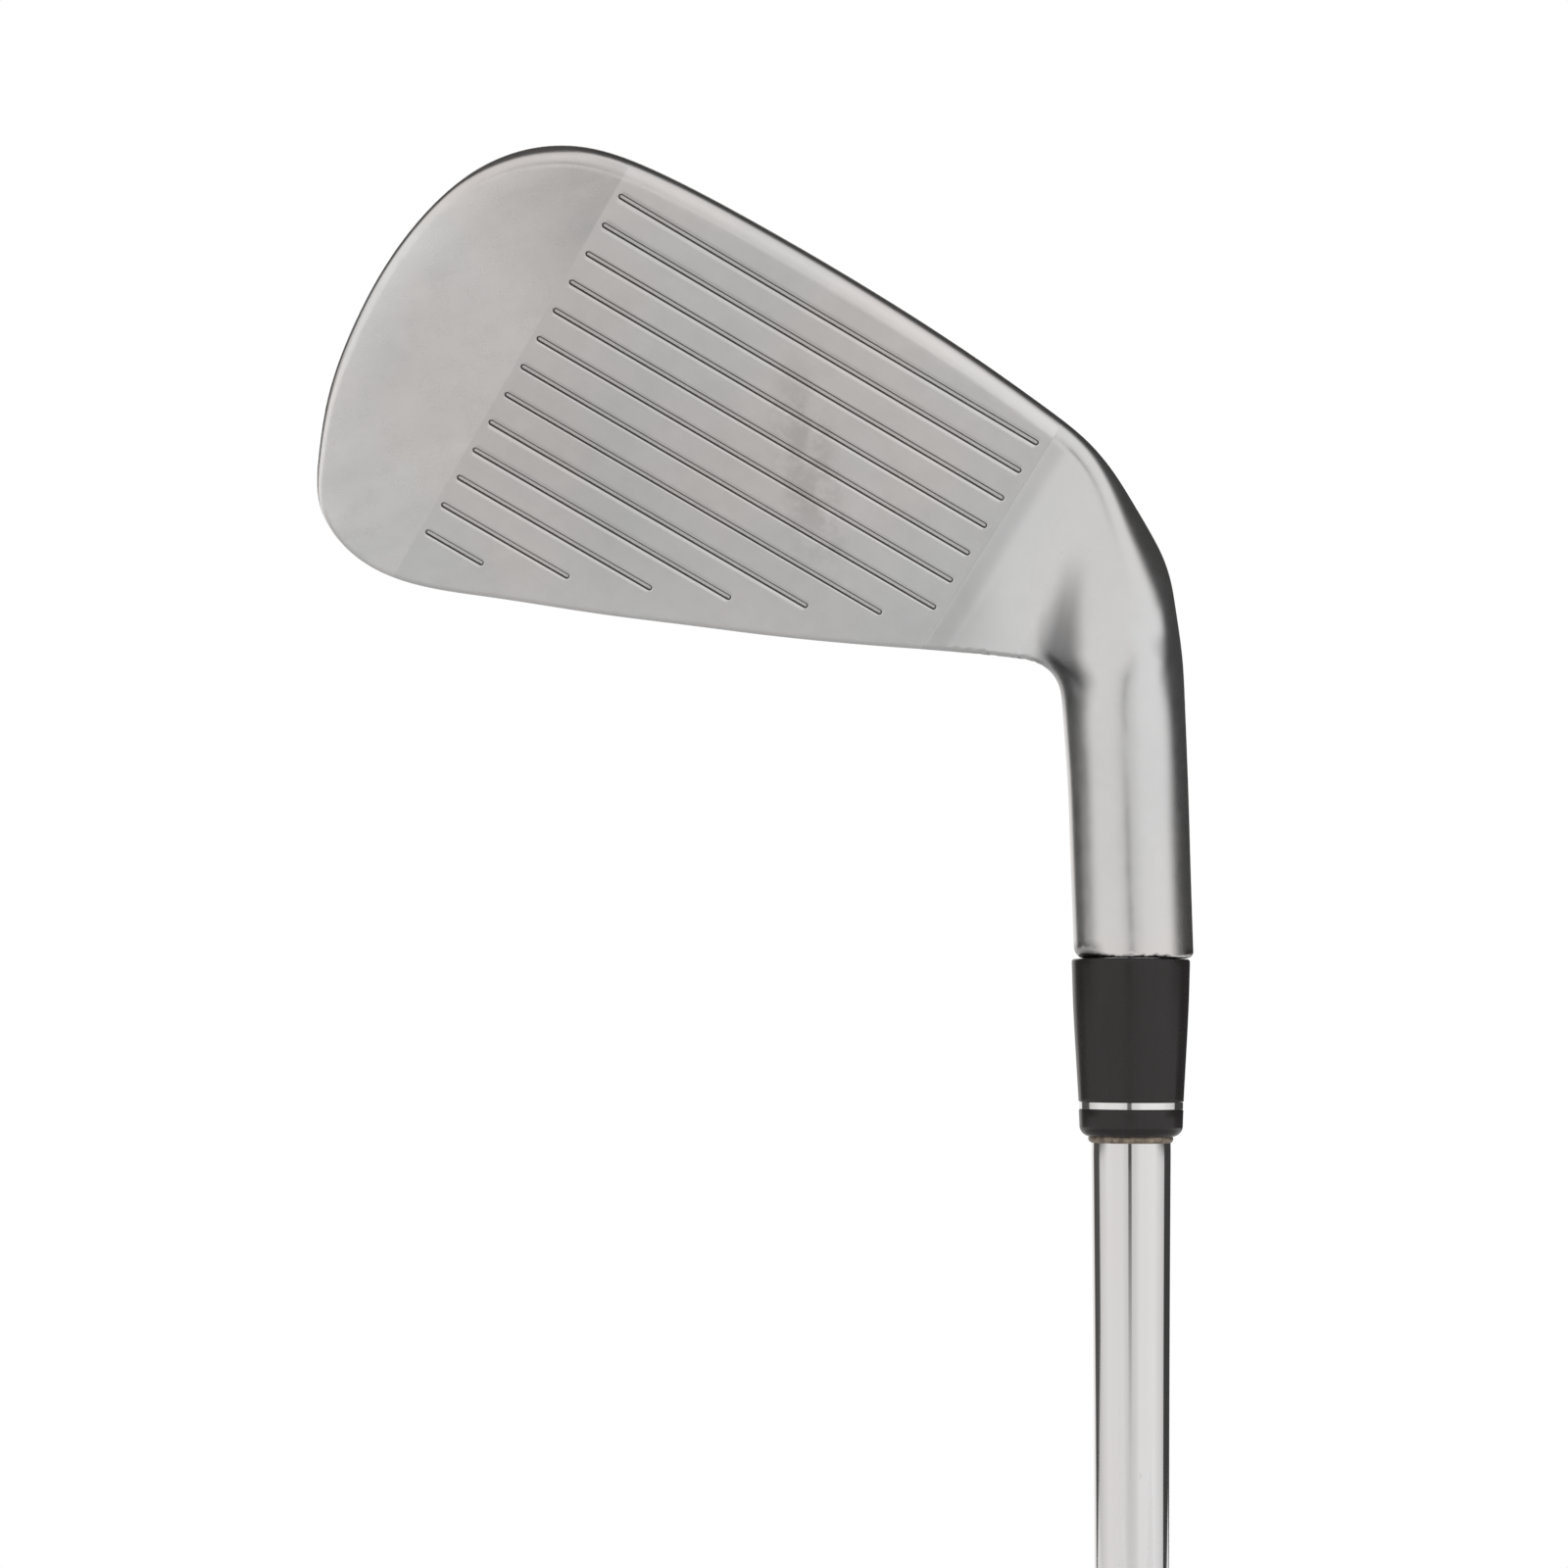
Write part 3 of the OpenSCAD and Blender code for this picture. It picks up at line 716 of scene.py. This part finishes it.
def bright_band():
    m, t, b, co = material("bright_ring", metallic=1.0)
    f = t.noise(t.scaled(co, (60.0, 60.0, 9000.0)), 1.0, 3.0, 0.6)
    spot = t.noise(co, 800.0, 3.0, 0.6)
    t.put(b.inputs["Base Color"], t.mix(t.step(t.add(t.mul(f, 0.5), t.mul(spot, 0.5)), 0.3, 0.62), rgb(0.93, 0.925, 0.92), rgb(0.985, 0.985, 0.98)))
    t.put(b.inputs["Roughness"], t.add(0.05, t.mul(f, 0.05)))
    return m


def glue(name, dark, light, scale=900.0):
    m, t, b, co = material(name, specular=0.5)
    f = t.noise(co, scale, 4.0, 0.65)
    t.put(b.inputs["Base Color"], t.mix(t.step(f, 0.35, 0.68), dark, light))
    t.put(b.inputs["Roughness"], t.add(0.3, t.mul(f, 0.25)))
    t.put(b.inputs["Normal"], t.bump(f, 0.3, 0.00008))
    return m


def rubber():
    m, t, b, co = material("grip_rubber", specular=0.35)
    grain = t.noise(co, 2300.0, 4.0, 0.65)
    cloud = t.noise(co, 35.0, 3.0, 0.55)
    dust = t.step(t.noise(t.scaled(co, (240.0, 240.0, 60.0)), 1.0, 4.0, 0.6), 0.52, 0.78)
    base = t.mix(cloud, rgb(0.018, 0.018, 0.019), rgb(0.032, 0.031, 0.031))
    base = t.mix(t.mul(dust, 0.35), base, rgb(0.085, 0.082, 0.079))
    t.put(b.inputs["Base Color"], base)
    t.put(b.inputs["Roughness"], t.add(0.55, t.mul(grain, 0.25)))
    t.put(b.inputs["Normal"], t.bump(grain, 0.35, 0.00012))
    b.inputs["Sheen Weight"].default_value = 0.12
    b.inputs["Sheen Roughness"].default_value = 0.5
    return m


def insert_paint():
    m, t, b, co = material("badge_finish", metallic=0.0, specular=0.5)
    p, u, n = face_coordinates(t, co)
    m_ = t.mul(n, -1.0)
    rim = t.step(m_, 4.52, 4.60)
    f = t.noise(co, 900.0, 4.0, 0.6)
    g = t.noise(co, 70.0, 3.0, 0.5)
    dark = t.mix(t.add(t.mul(f, 0.5), t.mul(g, 0.5)), rgb(0.030, 0.031, 0.035), rgb(0.060, 0.061, 0.067))
    pale = t.mix(f, rgb(0.34, 0.34, 0.35), rgb(0.46, 0.455, 0.45))
    t.put(b.inputs["Base Color"], t.mix(rim, dark, pale))
    t.put(b.inputs["Metallic"], t.mul(rim, 0.9))
    t.put(b.inputs["Roughness"], t.add(t.mul(rim, -0.14), t.add(0.38, t.mul(f, 0.14))))
    t.put(b.inputs["Normal"], t.bump(f, 0.15, 0.00005))
    return m


def brass():
    m, t, b, co = material("plug_brass", metallic=1.0)
    r = t.noise(t.scaled(co, (80.0, 80.0, 4000.0)), 1.0, 3.0, 0.6)
    t.put(b.inputs["Base Color"], t.mix(r, rgb(0.60, 0.42, 0.16), rgb(0.80, 0.60, 0.28)))
    t.put(b.inputs["Roughness"], t.add(0.22, t.mul(r, 0.2)))
    return m


def paper_tape():
    m, t, b, co = material("grip_tape", specular=0.3)
    w = t.noise(t.scaled(co, (300.0, 300.0, 1800.0)), 1.0, 4.0, 0.7)
    t.put(b.inputs["Base Color"], t.mix(w, rgb(0.62, 0.58, 0.47), rgb(0.82, 0.79, 0.69)))
    t.put(b.inputs["Roughness"], t.add(0.6, t.mul(w, 0.25)))
    t.put(b.inputs["Normal"], t.bump(w, 0.3, 0.0001))
    return m


# -------------------------------------------------------------------- pieces
def dress(o, mat, slot_name, *nodes):
    o.data.materials.clear()
    o.data.materials.append(mat)
    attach(o, "root")
    if nodes:
        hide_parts(*nodes)
    return o


def coat_node(name, mat):
    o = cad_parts[name]
    if not o.material_slots:
        o.data.materials.append(mat)
    for s in o.material_slots:
        s.material = mat


# head
v, q, g = head_mesh(0.62)
dress(from_face("iron_head", v, q, g), steel(), "head_steel", "club_head")
v, q, g = badge_mesh()
dress(from_face("badge_insert", v, q, g), insert_paint(), "badge", "cavity_badge")

# shaft: parallel tip, neck, long taper, even steps, butt section
TIP_R, NECK_R, BUTT_R = 4.5, 4.2, 7.625
Z_TIP, Z_FER, Z_STEP, STEPS, STEP_GAP, Z_BUTT = 948.0, 897.4, 733.0, 13, 35.0, 4.0
line = [(TIP_R - 0.25, Z_TIP), (TIP_R, Z_TIP - 0.4), (TIP_R, Z_FER)]
for k in range(1, 33):
    line.append((NECK_R + 0.34 * (1 - k / 32) ** 1.8, Z_FER - 2 * k))
line.append((NECK_R, Z_FER - 90))
r0 = NECK_R + 0.35
dr = (BUTT_R - r0) / STEPS
for k in range(STEPS):
    z, ra, rb = Z_STEP - k * STEP_GAP, r0 + k * dr, r0 + (k + 1) * dr
    line += [(ra, z), (ra + 0.02, z - 0.08), (rb - 0.04, z - 1.12), (rb, z - 1.25)]
line.append((BUTT_R, Z_BUTT))
inner = [(r - 0.45 - (0.1 if i < 4 else 0), z) for i, (r, z) in enumerate(line)]
shaft = lathe("shaft_tube", line + inner[::-1], 128, sharp=28)
dress(shaft, chrome(), "shaft_chrome", "shaft")

# ferrule: swells from the rounded lip to the hosel, with a groove for the ring
lower = arc(4.62, 898.58, 1.28, -90, -4, 14)
fer = [(4.56, 897.32)] + [(x + 0.0, y + 0.0) for x, y in lower] + [(5.93, 899.4), (5.97, 900.28),
    (5.95, 900.36), (5.89, 900.40), (5.55, 900.42), (5.55, 901.28), (5.92, 901.30), (5.99, 901.34), (6.01, 901.42)]
fer += smooth_line([(6.02, 901.7), (6.15, 903.98), (6.475, 909.6), (6.66, 913.6), (6.73, 916.0), (6.76, 917.0)], 0.6)
fer += arc(6.46, 917.27, 0.3, 6, 84, 6) + [(6.1, 917.60), (4.56, 917.62)]
dress(lathe("ferrule_body", fer, 160, sharp=32), black_plastic(), "ferrule_plastic", "ferrule")
band = [(5.56, 900.44), (5.90, 900.44), (5.922, 900.47), (5.934, 901.23), (5.91, 901.26), (5.56, 901.26)]
dress(lathe("ferrule_band", band, 160, sharp=30), bright_band(), "bright_ring", "ferrule_ring")


def lumpy(r, z, a):
    n = 0.055 * np.sin(5 * a + 1.0) + 0.04 * np.sin(11 * a + 2.2) + 0.03 * np.sin(23 * a + 0.4) + 0.02 * np.sin(37 * a)
    return np.where(r > 4.6, r + n, r)


bead = [(4.49, 896.62), (4.55, 896.60), (4.70, 896.72), (4.80, 896.95), (4.80, 897.15), (4.72, 897.32), (4.49, 897.34)]
dress(lathe("epoxy_fillet", bead, 144, relief=lumpy, sharp=50),
      glue("squeezed_glue", rgb(0.16, 0.125, 0.095), rgb(0.40, 0.33, 0.25)), "epoxy", "epoxy_bead")


# grip: rubber sleeve with crossing shallow channels between plain bands
def tread(r, z, a):
    k1 = np.cos(14 * a + 2 * pi * z / 9.6)
    k2 = np.cos(14 * a - 2 * pi * z / 9.6)
    cut = np.maximum(np.clip((k1 - 0.72) / 0.28, 0, 1), np.clip((k2 - 0.72) / 0.28, 0, 1))
    zone = np.clip((z - 34) / 1.6, 0, 1) * np.clip((128 - z) / 1.6, 0, 1)
    zone = zone + np.clip((z - 142) / 1.6, 0, 1) * np.clip((236 - z) / 1.6, 0, 1)
    ring = sum(np.exp(-((z - c) / 0.55) ** 2) for c in (22, 25.5, 131.5, 135, 138.5, 240.5, 244, 247.5, 257))
    outer = r > 8.5
    return np.where(outer, r - 0.42 * cut * cut * (3 - 2 * cut) * zone - 0.4 * ring, r)


outer = smooth_line([(13.47, 9.0), (13.05, 13.0), (12.6, 16), (12.1, 26), (11.86, 34), (11.05, 80), (10.3, 150), (9.45, 245), (9.4, 258), (9.34, 261)], 0.62)
body = [(8.35, 0.0), (11.0, 0.0)] + arc(11.5, 2, 2, -75, 0, 8) + [(13.5, 4.5), (13.5, 7.0), (13.49, 8.4)]
body = body + outer + [(9.1, 264), (8.8, 266), (8.62, 266.7), (8.4, 267.0), (7.8, 267.0), (7.79, 266.6), (7.79, 4.0), (1.5, 4.0), (1.5, 0.35), (1.85, 0.0)]
cap = [(1.85, 0.0), (5.2, 0.0), (5.35, 0.25), (6.05, 0.25), (6.2, 0.0), (8.35, 0.0)]
body = cap[:-1] + body[:-1]
dress(lathe("grip_sleeve", body, 160, relief=tread, sharp=42), rubber(), "grip_rubber", "grip")

coat_node("badge_adhesive", glue("adhesive_film", rgb(0.55, 0.53, 0.47), rgb(0.78, 0.76, 0.70), 500.0))
coat_node("hosel_epoxy", glue("hosel_glue", rgb(0.42, 0.32, 0.16), rgb(0.62, 0.52, 0.34), 500.0))
coat_node("swing_weight_plug", brass())
coat_node("grip_tape", paper_tape())

# --------------------------------------------------------------------- stage
bpy.context.scene.view_settings.view_transform = "Standard"
bpy.context.scene.view_settings.look = "None"

fl = mesh_object("studio_floor", [(-5, -5, 0), (5, -5, 0), (5, 5, 0), (-5, 5, 0)], [(0, 1, 2, 3)])
fm, t, b, co = material("floor_paint", specular=0.1)
t.put(b.inputs["Base Color"], t.mix(t.noise(co, 1.3, 3.0, 0.5), rgb(0.84, 0.835, 0.83), rgb(0.88, 0.878, 0.875)))
b.inputs["Roughness"].default_value = 0.9
far = t.node("ShaderNodeVectorMath", operation="LENGTH")
t.put(far.inputs[0], co)
b.inputs["Emission Color"].default_value = rgb(1.0, 0.995, 0.99)
seen = t.mul(t.node("ShaderNodeLightPath").outputs["Is Camera Ray"], 0.40)
t.put(b.inputs["Emission Strength"], t.math("MAXIMUM", t.step(far.outputs["Value"], 1.65, 2.6, 0.0, 0.42), seen))
fl.data.materials.append(fm)

RIGHT = Vector((0.98680, -0.16187, 0.00407))
DOWN = Vector((0.01430, 0.06204, -0.99797))
AHEAD = Vector((0.16129, 0.98486, 0.06353))

cam = bpy.data.objects.new("camera", bpy.data.cameras.new("camera"))
bpy.context.scene.collection.objects.link(cam)
rot = Matrix((RIGHT, -DOWN, -AHEAD)).transposed()
cam.matrix_world = Matrix.Translation((-0.11028, -0.42671, 0.90961)) @ rot.to_4x4()
cam.data.sensor_width = 36.0
cam.data.lens = 36.0 * 3900 / 1600
cam.data.clip_start, cam.data.clip_end = 0.01, 50.0
bpy.context.scene.camera = cam

# light tent: a white surround with a dark gap behind the club and a small dark
# opening where the lens looks in
world = bpy.data.worlds.new("light_tent")
bpy.context.scene.world = world
world.use_nodes = True
t = Tree(world.node_tree)
out = t.node("ShaderNodeOutputWorld")
D = t.node("ShaderNodeTexCoord").outputs["Generated"]
toward = -(AHEAD + 0.0905 * RIGHT).normalized()
flat = Vector((toward.x, toward.y, 0)).normalized()
side = Vector((-flat.y, flat.x, 0))
if side.dot(RIGHT) < 0:
    side = -side
c = t.dot(D, flat)
s = t.dot(D, side)
e = t.dot(D, (0, 0, 1))
theta = t.mul(t.math("ARCCOSINE", c), 180 / pi)
right = t.step(s, -0.1, 0.1)
low = t.mul(t.step(e, -0.032, -0.022, 1.0, 0.0), t.add(18.0, t.mul(right, 4.0)))
low = t.add(low, t.mul(t.step(e, -0.12, -0.08, 12.0, 0.0), t.sub(1.0, right)))
high = t.add(t.step(e, 0.25, 0.6, 0.0, -10.0), t.mul(right, t.step(e, 0.0, 0.15, 0.0, 12.0)))
high = t.add(high, t.mul(t.sub(1.0, right), t.step(e, 0.02, 0.09, 0.0, -8.0)))
high = t.add(high, t.mul(t.sub(1.0, right), t.mul(t.step(e, 0.10, 0.18, 0.0, 24.0), t.step(e, 0.68, 0.82, 1.0, 0.0))))
high = t.add(high, t.step(e, 0.85, 0.98, 0.0, -13.0))
start = t.add(t.add(low, high), t.add(t.mul(right, 3.0), 88.0))
end = t.add(140.0, t.mul(t.step(s, 0.0, 0.2), t.step(e, 0.35, 0.6, 70.0, 0.0)))
edge = t.sub(theta, start)
wide = t.step(e, -0.032, -0.022)
soft = t.add(t.mul(t.step(edge, -2.5, 2.5), t.sub(1.0, wide)), t.mul(t.step(edge, -21.0, 6.0), wide))
gap = t.mul(soft, t.step(t.sub(theta, end), -3.0, 4.0, 1.0, 0.0))
ramp = t.node("ShaderNodeValToRGB")
ramp.color_ramp.interpolation = "EASE"
stops = [(0.0, 0.62), (0.05, 0.66), (0.16, 0.78), (0.40, 0.80), (0.50, 0.72), (0.60, 0.62), (0.72, 0.60), (0.82, 0.90), (1.0, 0.95)]
while len(ramp.color_ramp.elements) < len(stops):
    ramp.color_ramp.elements.new(0.5)
for el, (x, y) in zip(ramp.color_ramp.elements, stops):
    el.position = x
    el.color = rgb(y, y, y)
t.put(ramp.inputs[0], t.mul(theta, 1 / 180))
bright = t.mul(t.channel(ramp.outputs[0]), t.step(s, -0.6, 0.6, 0.955, 1.0))
slit = t.mul(t.step(t.math("ABSOLUTE", t.add(s, 0.06)), 0.06, 0.11, 1.0, 0.0), t.mul(t.step(e, -0.13, -0.04), t.step(e, 0.04, 0.075, 1.0, 0.0)))
slit = t.mul(slit, t.step(c, 0.0, 0.1))
dark = t.math("MAXIMUM", gap, slit)
level = t.add(t.mul(bright, t.sub(1.0, dark)), t.mul(dark, t.add(0.08, t.mul(right, -0.03))))
tint = t.mix(t.step(s, -0.7, 0.7), rgb(1.0, 0.976, 0.960), rgb(1.0, 0.991, 0.985))
shown = t.node("ShaderNodeBackground")
t.put(shown.inputs[0], tint); t.put(shown.inputs[1], level)
plain = t.node("ShaderNodeBackground")
plain.inputs[0].default_value = rgb(1, 1, 1); plain.inputs[1].default_value = 1.0
pick = t.node("ShaderNodeMixShader")
t.put(pick.inputs[0], t.node("ShaderNodeLightPath").outputs["Is Camera Ray"])
world.node_tree.links.new(shown.outputs[0], pick.inputs[1])
world.node_tree.links.new(plain.outputs[0], pick.inputs[2])
world.node_tree.links.new(pick.outputs[0], out.inputs[0])


def soft_light(name, at, aim, size, power):
    d = bpy.data.lights.new(name, "AREA")
    d.shape, d.size, d.size_y, d.energy = "RECTANGLE", size, size, power
    o = bpy.data.objects.new(name, d)
    bpy.context.scene.collection.objects.link(o)
    o.location = at
    o.rotation_mode = "QUATERNION"
    o.rotation_quaternion = (Vector(aim) - Vector(at)).to_track_quat("-Z", "Y")
    o.visible_glossy = False
    o.visible_camera = False
    return o


soft_light("soft_left", (-1.5, -1.6, 2.3), (0, 0, 0.8), 1.4, 10.2)
soft_light("soft_right", (1.7, -1.2, 2.2), (0, 0, 0.8), 1.4, 8.0)
